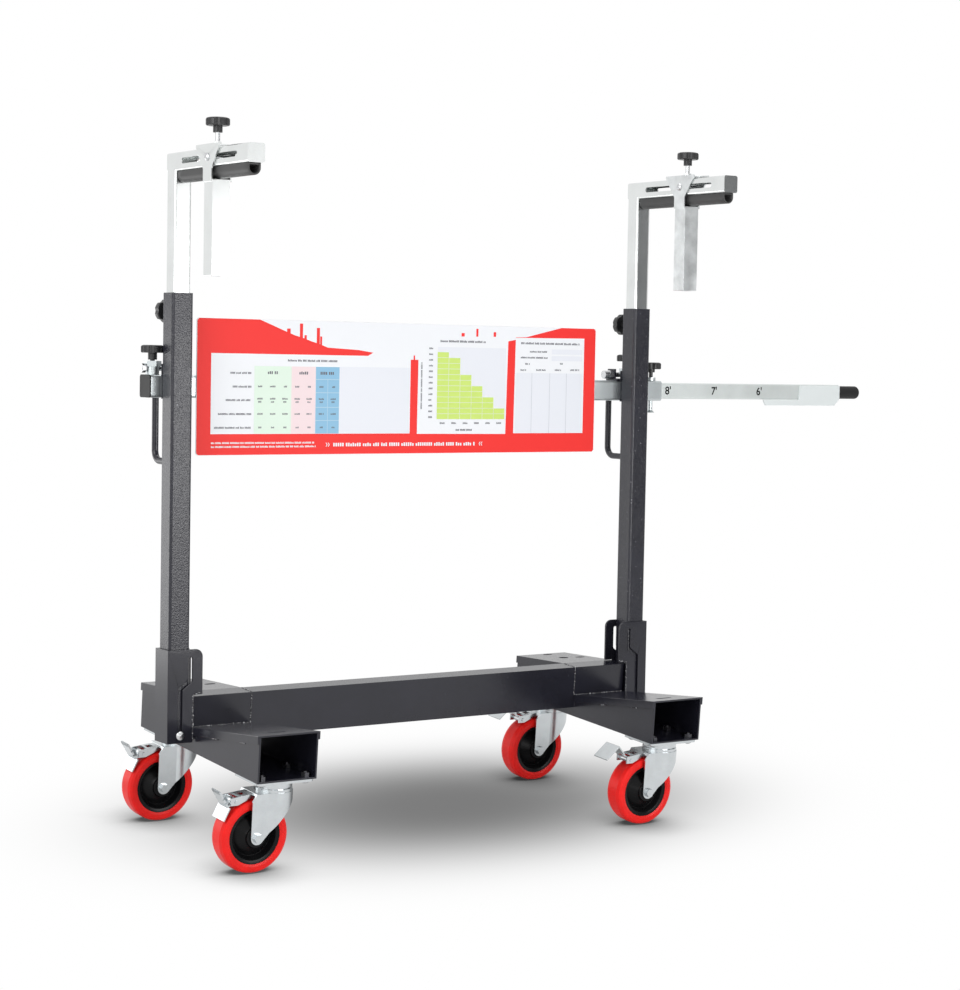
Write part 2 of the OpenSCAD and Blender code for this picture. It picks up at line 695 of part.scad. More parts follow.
// Rail, brackets and panel.
// The clamp boss sits near the rail's free end on the left and beside the post on the right.
function boss_x(s) = s > 0 ? post_x + 16 : rail_l - 18;
module rail() {
  color(zinc) leaning() difference() {
    union() {
      translate([0, rail_n, rail_t]) along_x(-rail_l + 3, rail_r) tube2d(rail_w, rail_wall, post_r);
      translate([bar_knob_x, rail_n, rail_top - 0.5]) cylinder(d = 24, h = 9);
      translate([bar_knob_x, rail_n, rail_bot - 30]) cylinder(d = 11, h = 31);
      translate([bar_knob_x, rail_n, rail_bot - 30]) cylinder(d1 = 22, d2 = 11, h = 6);
      for (s = [-1, 1]) translate([s * boss_x(s), rail_n, rail_top - 0.5]) {
        cylinder(d = boss_d, h = boss_h + 0.5);
        translate([0, 0, boss_h - 11.5]) rotate(30) hex(boss_d + 10, 12);
      }
    }
    translate([bar_knob_x, rail_n, rail_t]) cylinder(d = screw_d + 2 * fit, h = rail_w);
    for (s = [-1, 1]) {
      translate([s * boss_x(s), rail_n, rail_top + boss_h - 7]) cylinder(d = screw_d + 2 * fit, h = 20);
      translate([s * boss_x(s), rail_n, rail_top + pin_up]) rod_x(12 + 2 * fit, -boss_d, boss_d);
    }
  }
}
module rail_cap() {
  plug = rail_w - 2 * rail_wall - 0.4;
  color(black) leaning() translate([0, rail_n, rail_t]) {
    along_x(-rail_l, -rail_l + 3) rounded(rail_w, rail_w, post_r);
    along_x(-rail_l + 3, -rail_l + 15) rounded(plug, plug, 2);
  }
}
module bracket(s) {
  color(coat) leaning() mirror([s < 0 ? 1 : 0, 0, 0]) difference() {
    union() {
      translate([post_x - ph + 1, ph, rail_bot - 2]) cube([post_w - 2, brk_t, rail_w + 26]);
      translate([post_x - 33, rail_n0 - 0.5, rail_top]) cube([27, rail_w - 4, lug_t]);
      translate([post_x - 33, rail_n - 14, rail_top + lug_t / 2]) cube([5, 28, pin_up + 12]);
    }
    translate([0, rail_n, rail_top + pin_up]) rod_x(12 + 2 * fit, post_x - 60, post_x - 20);
  }
}
module bracket_left() { bracket(-1); }
module bracket_right() { bracket(1); }
module rail_pins() {
  color(zinc) leaning() for (s = [-1, 1]) mirror([s < 0 ? 1 : 0, 0, 0])
    translate([0, rail_n, rail_top + pin_up]) {
      rod_x(12, post_x - 57, boss_x(s) + boss_d / 2 + 13);
      rod_x(20, post_x - 57, post_x - 42);
      translate([post_x - 42, 0, 0]) rotate([0, 90, 0]) hex(22, 9);
      translate([boss_x(s) + boss_d / 2 + 3, 0, 0]) rotate([0, 90, 0]) hex(20, 9);
    }
}
module panel() {
  span = 2 * (post_x - ph) - panel_l - panel_r;
  color("#f1f1f1") leaning() translate([(panel_l - panel_r) / 2, rail_n0, rail_t]) along_y(-panel_t, 0)
    rounded(span, panel_h, 6);
}
module rail_knob(s) {
  color(black) leaning() translate([s * boss_x(s), rail_n, rail_top + boss_h - 6.5]) knob(9, 15);
}
module rail_knob_left() { rail_knob(-1); }
module rail_knob_right() { rail_knob(1); }
module grab(s) {
  back = rail_n0 + rail_w;
  r = min(24, grab_n - back - 1);
  color(coat) leaning() translate([s * post_x, 0, 0]) {
    translate([0, 0, grab_t]) rod_y(grab_d, ph, grab_n - r);
    translate([0, grab_n - r, grab_t + r]) rotate([0, 90, 0]) grab_bend(r);
    translate([0, grab_n, grab_t + r]) cylinder(d = grab_d, h = rail_t - grab_t - 2 * r);
    translate([0, grab_n - r, rail_t - r]) rotate([90, 0, 90]) grab_bend(r);
    translate([0, 0, rail_t]) rod_y(grab_d, back, grab_n - r);
  }
}
module grab_bend(r) { rotate_extrude(angle = 90) translate([r, 0]) circle(d = grab_d); }
module grab_left() { grab(-1); }
module grab_right() { grab(1); }

// Sliding bar with its end stop and grip.
module bar() {
  color(zinc) leaning() translate([0, rail_n, rail_t]) difference() {
    along_x(bar_in, bar_out) rounded(bar_w, bar_w, mast_r);
    along_x(bar_in - eps, bar_out - 5) rounded(bar_w - 2 * mast_wall, bar_w - 2 * mast_wall, 2);
  }
}
module stop() {
  b = rail_t - bh;
  x1 = bar_out;
  step = 0.52 * stop_l;
  color(zinc) leaning() translate([0, rail_n - bh, 0]) along_y(-stop_t, 0)
    polygon([[x1 - stop_l, b - 0.2], [x1 - stop_l + 8, b - stop_drop], [x1 - 18, b - stop_drop],
      [x1, b + 2], [x1, b + bar_w - 2], [x1 - step, b + bar_w - 2], [x1 - step - 5, b - 0.2]]);
}
module grip() {
  e = 8;
  color(black) leaning() translate([bar_out, rail_n, rail_t]) rotate([0, 90, 0])
    rotate_extrude($fn = 64) {
      square([grip_d / 2, grip_l - e]);
      square([grip_d / 2 - e, grip_l]);
      translate([grip_d / 2 - e, grip_l - e]) intersection() {
        circle(e);
        square([e, e]);
      }
    }
}
module bar_knob() {
  color(black) leaning() translate([bar_knob_x, rail_n, rail_t + bh + tip_gap]) knob(26, 8);
}

spine();
cross_left();
cross_right();
deck_near_left();
deck_near_right();
deck_far_left();
deck_far_right();
socket_left();
socket_right();
castor_plates();
castor_bolts();
post_left();
post_right();
pivot_bolts();
rail();
rail_cap();
bracket_left();
bracket_right();
rail_pins();
panel();
grab_left();
grab_right();
mast_left();
mast_right();
cap_left();
cap_right();
pad_left();
pad_right();
mast_knob_left();
mast_knob_right();
carriage_left();
carriage_right();
carriage_bolt_left();
carriage_bolt_right();
clamp_knob_left();
clamp_knob_right();
bar();
stop();
grip();
rail_knob_left();
rail_knob_right();
bar_knob();
fork_nl();
fork_nr();
fork_fl();
fork_fr();
core_nl();
core_nr();
core_fl();
core_fr();
tyre_nl();
tyre_nr();
tyre_fl();
tyre_fr();
pedal_nl();
pedal_nr();
pedal_fl();
pedal_fr();
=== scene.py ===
"""Looks of the drywall cart: finishes, printed panel, weld beads, bar numbers, camera, floor and light."""
import math
import random

import bpy
from mathutils import Matrix, Vector


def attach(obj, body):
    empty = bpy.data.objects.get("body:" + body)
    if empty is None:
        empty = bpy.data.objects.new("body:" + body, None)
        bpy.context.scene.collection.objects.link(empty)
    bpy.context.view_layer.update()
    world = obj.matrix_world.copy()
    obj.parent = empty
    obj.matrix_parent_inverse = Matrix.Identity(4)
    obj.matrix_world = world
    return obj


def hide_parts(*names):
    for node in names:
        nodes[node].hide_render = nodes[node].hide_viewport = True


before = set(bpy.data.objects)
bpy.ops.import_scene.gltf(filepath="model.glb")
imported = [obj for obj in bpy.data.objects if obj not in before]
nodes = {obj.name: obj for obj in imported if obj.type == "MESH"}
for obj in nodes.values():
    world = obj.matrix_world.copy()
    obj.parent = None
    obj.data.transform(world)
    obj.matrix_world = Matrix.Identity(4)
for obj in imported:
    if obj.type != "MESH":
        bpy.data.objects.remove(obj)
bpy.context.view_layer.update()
scene = bpy.context.scene

# Sizes shared with the solids, in metres. x starts at the middle between the posts.
# In the leaning frame n is the distance behind the posts' axis and t the distance up along it.
X_MID = 0.374
LEAN = math.radians(4.2)
POST_Y = 0.027
POST_X = 0.629
ARM_X = 0.523
ARM_W = 0.150
ARM_L = 0.280
ARM_FLOOR = 0.2065
DECK_OUT_Z = 0.306
DECK_IN_Z = 0.257
SPINE_Y0 = 0.029
SPINE_Y1 = 0.079
SPINE_Z0 = 0.226
SPINE_Z1 = 0.326
RAIL_T = 1.002
RAIL_N0 = 0.030
RAIL_N = 0.055
BAR_HALF = 0.020
MAST_HALF = 0.020
HOOK_TOP = {"left": 1.505, "right": 1.514}
HOOK_L = 0.347
KNOB_SCREW = 0.0322
PAD_W = 0.030
PAD_H = 0.025
PAD_WALL = 0.004
SIDES = {"left": -1, "right": 1}


def world_point(x, y, z):
    """A point of the cart, measured from the middle between the posts."""
    return Vector((x - X_MID, y, z))


def post_point(x, n, t):
    """A point in the leaning frame: n behind the posts' axis, t up along the posts."""
    y = POST_Y + n * math.cos(LEAN) + t * math.sin(LEAN)
    z = -n * math.sin(LEAN) + t * math.cos(LEAN)
    return Vector((x - X_MID, y, z))


def along_post(p):
    """How far up along the posts a point is."""
    return (p.y - POST_Y) * math.sin(LEAN) + p.z * math.cos(LEAN)


# Materials.
FLECK_CELLS = 480.0


class Tree:
    """A small helper that adds and links shader nodes of one material."""

    def __init__(self, name):
        self.mat = bpy.data.materials.new(name)
        self.mat.use_nodes = True
        self.nt = self.mat.node_tree
        self.nt.nodes.clear()
        self.out = self.add("ShaderNodeOutputMaterial")
        self.shader = self.add("ShaderNodeBsdfPrincipled")
        self.link(self.shader, "BSDF", self.out, "Surface")
        self.coords = self.add("ShaderNodeTexCoord")

    def add(self, kind, **values):
        """A new node with some of its settings."""
        node = self.nt.nodes.new(kind)
        for key, value in values.items():
            setattr(node, key, value)
        return node

    def link(self, a, a_socket, b, b_socket):
        """A link from an output of a to an input of b."""
        self.nt.links.new(a.outputs[a_socket], b.inputs[b_socket])

    def noise(self, scale, detail=3.0, rough=0.6):
        """A noise fixed to the object."""
        node = self.add("ShaderNodeTexNoise")
        node.inputs["Scale"].default_value = scale
        node.inputs["Detail"].default_value = detail
        node.inputs["Roughness"].default_value = rough
        self.link(self.coords, "Object", node, "Vector")
        return node

    def ramp(self, source, socket, stops):
        """A colour ramp; stops are pairs of place and colour."""
        node = self.add("ShaderNodeValToRGB")
        while len(node.color_ramp.elements) < len(stops):
            node.color_ramp.elements.new(0.5)
        for element, (place, colour) in zip(node.color_ramp.elements, stops):
            element.position = place
            element.color = (*colour, 1.0)
        self.link(source, socket, node, "Fac")
        return node

    def mix(self, fac, a, b, mode="MIX"):
        """A colour mix; each value is a number, a colour, or a pair of node and output."""
        node = self.add("ShaderNodeMix", data_type="RGBA", blend_type=mode)
        for index, value in ((0, fac), (6, a), (7, b)):
            if isinstance(value, tuple) and hasattr(value[0], "outputs"):
                self.link(*value, node, index)
            elif index == 0:
                node.inputs[0].default_value = value
            else:
                node.inputs[index].default_value = (*value, 1.0)
        return (node, 2)

    def colour(self, source):
        """The base colour, from a pair of node and output."""
        self.link(*source, self.shader, "Base Color")

    def bump(self, source, socket, strength, distance):
        """A bump from a height."""
        node = self.add("ShaderNodeBump")
        node.inputs["Strength"].default_value = strength
        node.inputs["Distance"].default_value = distance
        self.link(source, socket, node, "Height")
        self.link(node, "Normal", self.shader, "Normal")

    def rough(self, source, socket, low, high):
        """A roughness that runs from low to high."""
        node = self.add("ShaderNodeMapRange")
        node.inputs["To Min"].default_value = low
        node.inputs["To Max"].default_value = high
        self.link(source, socket, node, "Value")
        self.link(node, "Result", self.shader, "Roughness")

    def set(self, **values):
        """Plain values on the shader's own sockets."""
        for key, value in values.items():
            self.shader.inputs[key.replace("_", " ")].default_value = value


def tinted(base, factor):
    """A colour made darker or lighter."""
    return tuple(factor * c for c in base)


def powder_coat(name, base, fleck_and_glint, amount, lump_scale, lump_depth):
    """Dark textured powder coat: a lumpy skin that glints, with pale flecks in its colour that are partly
    real flecks and partly painted glints.
    """
    t = Tree(name)
    cloud = t.noise(scale=9.0, detail=2.0)
    lumps = t.noise(scale=lump_scale, detail=1.0)
    cells = t.add("ShaderNodeTexVoronoi", feature="F1")
    cells.inputs["Scale"].default_value = FLECK_CELLS
    t.link(t.coords, "Object", cells, "Vector")
    pick = t.ramp(cells, "Color", [(1.0 - amount, (0, 0, 0)), (1.0, (1, 1, 1))])
    tone = t.ramp(cloud, "Fac", [(0.3, tinted(base, 0.85)), (0.7, tinted(base, 1.15))])
    t.colour(t.mix((pick, "Color"), (tone, "Color"), fleck_and_glint))
    t.rough(lumps, "Fac", low=0.18, high=0.28)
    t.bump(lumps, "Fac", strength=1.0, distance=lump_depth)
    t.set(Metallic=0.0, IOR=1.5)
    return t.mat


def zinc_plate(name, base, rough, cloud_scale, dull=0.9):
    """Bright zinc plate: a metal with faint clouds and fine pits, between two roughnesses."""
    t = Tree(name)
    cloud = t.noise(scale=cloud_scale, detail=4.0, rough=0.55)
    fine = t.noise(scale=260.0, detail=3.0)
    tone = t.ramp(cloud, "Fac", [(0.25, tinted(base, dull)), (0.75, base)])
    t.colour(t.mix(0.12, (tone, "Color"), (fine, "Color"), "SOFT_LIGHT"))
    t.rough(cloud, "Fac", *rough)
    t.bump(fine, "Fac", strength=0.06, distance=0.0005)
    t.set(Metallic=1.0)
    return t.mat


def moulded(name, base, rough, grain_scale, depth, gloss=0.5):
    """Moulded plastic or rubber with a fine grain and a slightly uneven gloss."""
    t = Tree(name)
    cloud = t.noise(scale=30.0, detail=3.0)
    grain = t.noise(scale=grain_scale, detail=2.0)
    tone = t.ramp(cloud, "Fac", [(0.3, tinted(base, 0.9)), (0.7, tinted(base, 1.1))])
    t.colour((tone, "Color"))
    t.rough(cloud, "Fac", *rough)
    t.bump(grain, "Fac", strength=0.12, distance=depth)
    t.set(Specular_IOR_Level=gloss)
    return t.mat


def even_coat(name, base, gloss=0.12):
    """A printed ink or smooth paint: an even colour with a faint sheet texture."""
    t = Tree(name)
    grain = t.noise(scale=700.0, detail=2.0)
    tone = t.ramp(grain, "Fac", [(0.3, tinted(base, 0.985)), (0.7, base)])
    t.colour((tone, "Color"))
    t.rough(grain, "Fac", low=0.32, high=0.42)
    t.bump(grain, "Fac", strength=0.2, distance=0.0001)
    t.set(Metallic=0.0, Specular_IOR_Level=gloss)
    return t.mat


# Coats with pale flecks that are partly real flecks and partly painted glints.
COAT = powder_coat("powder_coat", (0.0140, 0.0140, 0.0215), fleck_and_glint=(0.16, 0.16, 0.19), amount=0.02,
                   lump_scale=420.0, lump_depth=0.00014)
COAT_POST = powder_coat("post_coat", (0.0140, 0.0140, 0.0220), fleck_and_glint=(0.30, 0.30, 0.34), amount=0.07,
                        lump_scale=340.0, lump_depth=0.00062)
# Weld coat: a dark coat whose many near-white flecks are painted glints.
WELD = powder_coat("weld_coat_and_painted_glints", (0.030, 0.030, 0.034), fleck_and_glint=(0.95, 0.95, 0.97), amount=0.34,
                   lump_scale=420.0, lump_depth=0.0006)
ZINC = zinc_plate("zinc_plate", (0.79, 0.81, 0.805), rough=(0.13, 0.20), cloud_scale=14.0)
ZINC_LEG = zinc_plate("zinc_leg", (0.80, 0.825, 0.83), rough=(0.25, 0.42), cloud_scale=34.0, dull=0.72)
ZINC_RAIL = zinc_plate("zinc_rail", (0.56, 0.60, 0.61), rough=(0.30, 0.42), cloud_scale=18.0)
ZINC_BAR = zinc_plate("zinc_bar", (0.72, 0.76, 0.75), rough=(0.38, 0.46), cloud_scale=18.0)
ZINC_CASTOR = zinc_plate("zinc_castor", (0.62, 0.65, 0.665), rough=(0.18, 0.30), cloud_scale=40.0)
ZINC_BOLT = zinc_plate("zinc_bolt", (0.62, 0.63, 0.64), rough=(0.22, 0.34), cloud_scale=90.0)
# Bolt zinc darkened as painted shade, for the bolt ends inside the arms.
BOLT_PAINTED_SHADE = zinc_plate("bolt_painted_shade", (0.10, 0.10, 0.11), rough=(0.30, 0.45), cloud_scale=90.0)
STOP_PAINT = even_coat("stop_paint", (0.80, 0.84, 0.83), gloss=0.4)
TYRE = moulded("red_tyre", (0.86, 0.014, 0.011), rough=(0.30, 0.42), grain_scale=500.0, depth=0.0003,
               gloss=0.22)
CORE = moulded("black_core", (0.005, 0.005, 0.0055), rough=(0.18, 0.30), grain_scale=700.0, depth=0.0003,
               gloss=0.14)
KNOB = moulded("black_knob", (0.016, 0.016, 0.017), rough=(0.30, 0.42), grain_scale=900.0, depth=0.0004)
RUBBER = moulded("black_rubber", (0.012, 0.012, 0.0125), rough=(0.42, 0.58), grain_scale=1100.0, depth=0.0005,
                 gloss=0.25)
PAD = moulded("grey_rubber", (0.040, 0.040, 0.040), rough=(0.40, 0.52), grain_scale=1100.0, depth=0.0005)
WHITE_SHEET = even_coat("white_sheet", (0.92, 0.93, 0.95))
PRINT_RED = even_coat("print_red", (0.95, 0.046, 0.041))
PRINT_GREEN = even_coat("print_green", (0.65, 0.83, 0.20))
PRINT_PALE_GREEN = even_coat("print_pale_green", (0.79, 0.92, 0.79))
PRINT_PINK = even_coat("print_pink", (0.93, 0.76, 0.77))
PRINT_BLUE = even_coat("print_blue", (0.30, 0.55, 0.75))
PRINT_GREY = even_coat("print_grey", (0.16, 0.16, 0.18))
PRINT_CARD = even_coat("print_card", (0.85, 0.865, 0.91))
PRINT_LINE = even_coat("print_line", (0.60, 0.62, 0.66))
PRINT_PALE_LINE = even_coat("print_pale_line", (0.50, 0.68, 0.80))
NUMBER_INK = even_coat("number_ink", (0.008, 0.008, 0.009), gloss=0.08)

# The finish of a node comes from its whole name, or else from the first word of it.
NAMED = {
    "castor_bolts": ZINC_BOLT, "pivot_bolts": ZINC_BOLT, "rail_pins": ZINC_BOLT, "rail_cap": RUBBER,
    "carriage_left": ZINC, "carriage_bolt_left": ZINC_BOLT, "carriage_bolt_right": ZINC_BOLT,
}
FINISH = {
    "spine": COAT, "cross": COAT, "deck": COAT, "socket": COAT, "post": COAT_POST, "bracket": COAT,
    "grab": COAT, "mast": ZINC, "cap": ZINC, "carriage": ZINC_LEG, "rail": ZINC_RAIL, "bar": ZINC_BAR,
    "stop": STOP_PAINT, "castor": ZINC_CASTOR, "fork": ZINC_CASTOR, "pedal": ZINC_CASTOR,
    "tyre": TYRE, "core": CORE, "pad": PAD, "grip": RUBBER, "panel": WHITE_SHEET,
}
EDGE_RADIUS = 0.0007
KNOB_EDGE_RADIUS = 0.0012
EDGE_ANGLE = math.radians(40)
EDGE_SEGMENTS = 2
FLAT_WEIGHT = 100
MERGE_REACH = 0.00001


def finish_of(name):
    """The material of a node."""
    if "knob" in name:
        return KNOB
    if name in NAMED:
        return NAMED[name]
    return FINISH[name.split("_")[0]]


def part_finish(obj, material, chosen):
    """A second finish on the faces whose middle passes a test."""
    obj.data.materials.append(material)
    for face in obj.data.polygons:
        if chosen(obj.matrix_world @ face.center):
            face.material_index = 1


def soften(obj, width):
    """Small real radii on a node's edges, laid over its mesh by modifiers that keep its flat faces flat."""
    weld = obj.modifiers.new("weld", "WELD")
    weld.merge_threshold = MERGE_REACH
    bevel = obj.modifiers.new("edge_radius", "BEVEL")
    bevel.width = width
    bevel.segments = EDGE_SEGMENTS
    bevel.limit_method = "ANGLE"
    bevel.angle_limit = EDGE_ANGLE
    even = obj.modifiers.new("flat_faces", "WEIGHTED_NORMAL")
    even.keep_sharp = True
    even.weight = FLAT_WEIGHT


for name, obj in nodes.items():
    obj.data.materials.clear()
    obj.data.materials.append(finish_of(name))
    if not name.startswith(("tyre", "panel")):
        soften(obj, KNOB_EDGE_RADIUS if "knob" in name else EDGE_RADIUS)

# Bolt ends inside the arms get the darkened zinc: painted shade in the arms' hollow.
part_finish(nodes["castor_bolts"], BOLT_PAINTED_SHADE, lambda p: p.z > ARM_FLOOR)
for side, top in HOOK_TOP.items():
    part_finish(nodes["clamp_knob_" + side], ZINC_BOLT, lambda p: along_post(p) < top + KNOB_SCREW)


def new_piece(name, verts, faces, material, body):
    """A mesh piece in the cart's frame that moves with a body."""
    mesh = bpy.data.meshes.new(name)
    mesh.from_pydata([tuple(v) for v in verts], [], faces)
    mesh.validate()
    mesh.materials.append(material)
    obj = bpy.data.objects.new(name, mesh)
    scene.collection.objects.link(obj)
    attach(obj, body)
    return obj


def smooth(obj):
    """Smooth shading on all faces of a piece."""
    for face in obj.data.polygons:
        face.use_smooth = True


# Rubber pads under the hooks.
# An end is rounded by rings, each given by its depth from the end and the inset of its outline.
PAD_NEAR_GAP = 0.0075
PAD_FAR_GAP = 0.0015
PAD_CLEAR = 0.0001
PAD_SPANS = 14
SIDE_STEPS = 4
ROUND_STEPS = 20
TOP_STEPS = 6
END_ROUND = ((0.0, 0.0010), (0.0006, 0.0003), (0.0016, 0.0))
BORE_ROUND = ((0.0, -0.0010), (0.0008, 0.0))


def seal_loop(width, height, drop, inset):
    """Outline of a D-shaped rubber section: flat top, straight sides, round underside."""
    r = width / 2 - inset
    top = -drop - inset
    low = -drop - height + width / 2
    points = [(-r, top + (low - top) * k / SIDE_STEPS) for k in range(SIDE_STEPS)]
    for k in range(ROUND_STEPS + 1):
        angle = math.pi * k / ROUND_STEPS
        points.append((-r * math.cos(angle), low - r * math.sin(angle)))
    points += [(r, low + (top - low) * (k + 1) / SIDE_STEPS) for k in range(SIDE_STEPS)]
    points += [(r - 2 * r * (k + 1) / TOP_STEPS, top) for k in range(TOP_STEPS - 1)]
    return points


def rubber_seal(tag, sign):
    """Hollow rubber section under a hook, with rounded open ends."""
    near = -HOOK_L + PAD_NEAR_GAP
    far = -MAST_HALF - PAD_FAR_GAP
    x0 = sign * POST_X
    t0 = HOOK_TOP[tag] - 2 * MAST_HALF - PAD_CLEAR
    verts = []
    rings = []

    def ring(n, loop):
        rings.append(range(len(verts), len(verts) + len(loop)))
        verts.extend(post_point(x0 + x, n, t0 + t) for x, t in loop)

    outer = [(near + depth, inset) for depth, inset in END_ROUND]
    outer += [(near + (far - near) * k / PAD_SPANS, 0.0) for k in range(1, PAD_SPANS)]
    outer += [(far - depth, inset) for depth, inset in reversed(END_ROUND)]
    for n, inset in outer:
        ring(n, seal_loop(PAD_W, PAD_H, 0.0, inset))
    inner = [(far - depth, inset) for depth, inset in BORE_ROUND]
    inner += [(near + depth, inset) for depth, inset in reversed(BORE_ROUND)]
    for n, inset in inner:
        ring(n, seal_loop(PAD_W - 2 * PAD_WALL, PAD_H - 2 * PAD_WALL, PAD_WALL, inset))
    faces = []
    for a, b in zip(rings, rings[1:] + rings[:1]):
        count = len(a)
        faces += [(a[k], a[(k + 1) % count], b[(k + 1) % count], b[k]) for k in range(count)]
    seal = new_piece("seal_" + tag, verts, faces, PAD, "mast_" + tag)
    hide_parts("pad_" + tag)
    smooth(seal)


for tag, sign in SIDES.items():
    rubber_seal(tag, sign)

# Weld beads: lumpy rods laid along the seams, in a dark coat whose pale flecks are painted glints.
BEAD_STEP = 0.0028
BEAD_SIDES = 8
BEAD_MEAN = 0.78
BEAD_RIPPLE = 0.22
BEAD_RIPPLE_TURN = 2.1
BEAD_SPREAD = (0.85, 1.2)
BEAD_DRIFT = (-0.2, 0.2)
THIN_BEAD = 0.0016
DECK_BEAD = 0.0018
SOCKET_BEAD = 0.0019
SEAM = ARM_X - ARM_W / 2
BLOCK = ARM_X + ARM_W / 2
SOCKET_FACE = 0.0306
SOCKET_LOW = 0.232
SOCKET_FRONT_HIGH = 0.330
SOCKET_BACK_HIGH = 0.325
SOCKET_TURN_T = 0.3345
SOCKET_TURN_X = 0.022
GRAB_R = 0.0078
GRAB_N = 0.0252
GRAB_T = 0.837
GRAB_STEPS = 14
LIP_PLACES = (-0.205, -0.085)
LIP_EDGES = (("in", -ARM_W / 2 + 0.003), ("out", ARM_W / 2 - 0.003))
LIP_DROP = 0.0185
LIP_HALF = 0.012
LIP_FALL = 0.0019


def bead(name, path, radius, body, seed):
    """A lumpy rod along a path of points."""
    rng = random.Random(seed)
    spots = []
    for a, b in zip(path[:-1], path[1:]):
        count = max(2, int((b - a).length / BEAD_STEP))
        for k in range(count):
            spots.append((a.lerp(b, k / count), (b - a).normalized()))
    spots.append((path[-1], (path[-1] - path[-2]).normalized()))
    verts = []
    for k, (at, along) in enumerate(spots):
        side = along.orthogonal().normalized()
        other = along.cross(side)
        ripple = BEAD_MEAN + BEAD_RIPPLE * math.cos(k * BEAD_RIPPLE_TURN)
        size = radius * ripple * rng.uniform(*BEAD_SPREAD)
        drift = side * rng.uniform(*BEAD_DRIFT) * radius + other * rng.uniform(*BEAD_DRIFT) * radius
        for m in range(BEAD_SIDES):
            angle = 2 * math.pi * m / BEAD_SIDES
            verts.append(at + drift + size * (math.cos(angle) * side + math.sin(angle) * other))
    faces = []
    for k in range(len(spots) - 1):
        here = k * BEAD_SIDES
        after = here + BEAD_SIDES
        for m in range(BEAD_SIDES):
            n = (m + 1) % BEAD_SIDES
            faces.append((here + m, here + n, after + n, after + m))
    faces.append(tuple(range(BEAD_SIDES - 1, -1, -1)))
    last = (len(spots) - 1) * BEAD_SIDES
    faces.append(tuple(range(last, last + BEAD_SIDES)))
    smooth(new_piece(name, verts, faces, WELD, body))


def weld_end(tag, side):
    """The beads of one end of the cart; side is -1 on the left and 1 on the right."""
    bead("weld_block_" + tag, [
        world_point(side * SEAM, SPINE_Y0, DECK_IN_Z),
        world_point(side * SEAM, SPINE_Y0, SPINE_Z1),
        world_point(side * SEAM, SPINE_Y1, SPINE_Z1),
        world_point(side * SEAM, SPINE_Y1, SPINE_Z0),
    ], THIN_BEAD, "base", seed=11 + side)
    bead("weld_deck_" + tag, [
        world_point(side * SEAM, SPINE_Y0, DECK_IN_Z),
        world_point(side * BLOCK, SPINE_Y0, DECK_IN_Z),
    ], DECK_BEAD, "base", seed=21 + side)
    bead("weld_socket_" + tag, [
        post_point(side * BLOCK, -SOCKET_FACE, SOCKET_LOW),
        post_point(side * BLOCK, -SOCKET_FACE, SOCKET_FRONT_HIGH),
        post_point(side * (BLOCK - SOCKET_TURN_X), -SOCKET_FACE, SOCKET_TURN_T),
    ], SOCKET_BEAD, "base", seed=31 + side)
    bead("weld_socket_back_" + tag, [
        post_point(side * BLOCK, SOCKET_FACE, SOCKET_LOW),
        post_point(side * BLOCK, SOCKET_FACE, SOCKET_BACK_HIGH),
    ], SOCKET_BEAD, "base", seed=41 + side)
    angles = [2 * math.pi * k / GRAB_STEPS for k in range(GRAB_STEPS + 1)]
    bead("weld_grab_" + tag, [
        post_point(side * POST_X + GRAB_R * math.cos(a), GRAB_N, GRAB_T + GRAB_R * math.sin(a))
        for a in angles
    ], THIN_BEAD, "upper", seed=51 + side)
    for k, y in enumerate(LIP_PLACES):
        z = DECK_OUT_Z + (DECK_IN_Z - DECK_OUT_Z) * (y + ARM_L) / (SPINE_Y0 + ARM_L) - LIP_DROP
        for edge, x in LIP_EDGES:
            bead("weld_lip_%s_%s_%d" % (tag, edge, k), [
                world_point(side * ARM_X + x, y - LIP_HALF, z + LIP_FALL),
                world_point(side * ARM_X + x, y + LIP_HALF, z - LIP_FALL),
            ], DECK_BEAD, "base", seed=61 + k)


for tag, side in SIDES.items():
    weld_end(tag, side)

# Printed face of the panel: flat inks in layers, laid just in front of the sheet.
# The drawing is in millimetres from the panel's lower left corner, u along and v up.
PANEL_W = 1.093
PANEL_H = 0.303
PANEL_MID = -0.022
PANEL_SHEET = 0.003
PANEL_X0 = PANEL_MID - PANEL_W / 2
PANEL_T0 = RAIL_T - PANEL_H / 2
PANEL_FRONT = RAIL_N0 - PANEL_SHEET
PANEL_SEED = 5
MM_PER_M = 1000
INK_STEP = 0.00012
INKS = [
    PRINT_RED, WHITE_SHEET, PRINT_CARD, PRINT_GREEN, PRINT_PALE_GREEN, PRINT_PINK, PRINT_BLUE, PRINT_GREY,
    PRINT_LINE, PRINT_PALE_LINE,
]
RED, WHITE, CARD, GREEN, PALE, PINK, BLUE, GREY, LINE, PALE_LINE = range(10)
BACK, FIELD, BOX, FILL, MARK = range(1, 6)

# Small marks, as shares of their height: width, step, gap between groups; and the number in a group.
MARK_W = 0.52
MARK_STEP = 0.74
MARK_GAP = 0.5
MARK_TALL = (1.0, 1.0, 0.78)
MARK_GROUP = (3, 8)
ink_faces = []


def ink(layer, colour, points):
    """A flat patch with any outline."""
    ink_faces.append((layer, colour, points))


def ink_box(layer, colour, u0, v0, u1, v1):
    """A flat upright box."""
    ink(layer, colour, [(u0, v0), (u1, v0), (u1, v1), (u0, v1)])


def mark_row(colour, u0, u1, v, height, rng):
    """A row of small upright marks in uneven groups."""
    u = u0
    while u < u1 - MARK_GAP * height:
        for _ in range(rng.randint(*MARK_GROUP)):
            if u > u1 - MARK_GAP * height:
                break
            tall = height * rng.choice(MARK_TALL)
            ink_box(MARK, colour, u, v - height / 2, u + MARK_W * height, v - height / 2 + tall)
            u += MARK_STEP * height
        u += MARK_GAP * height


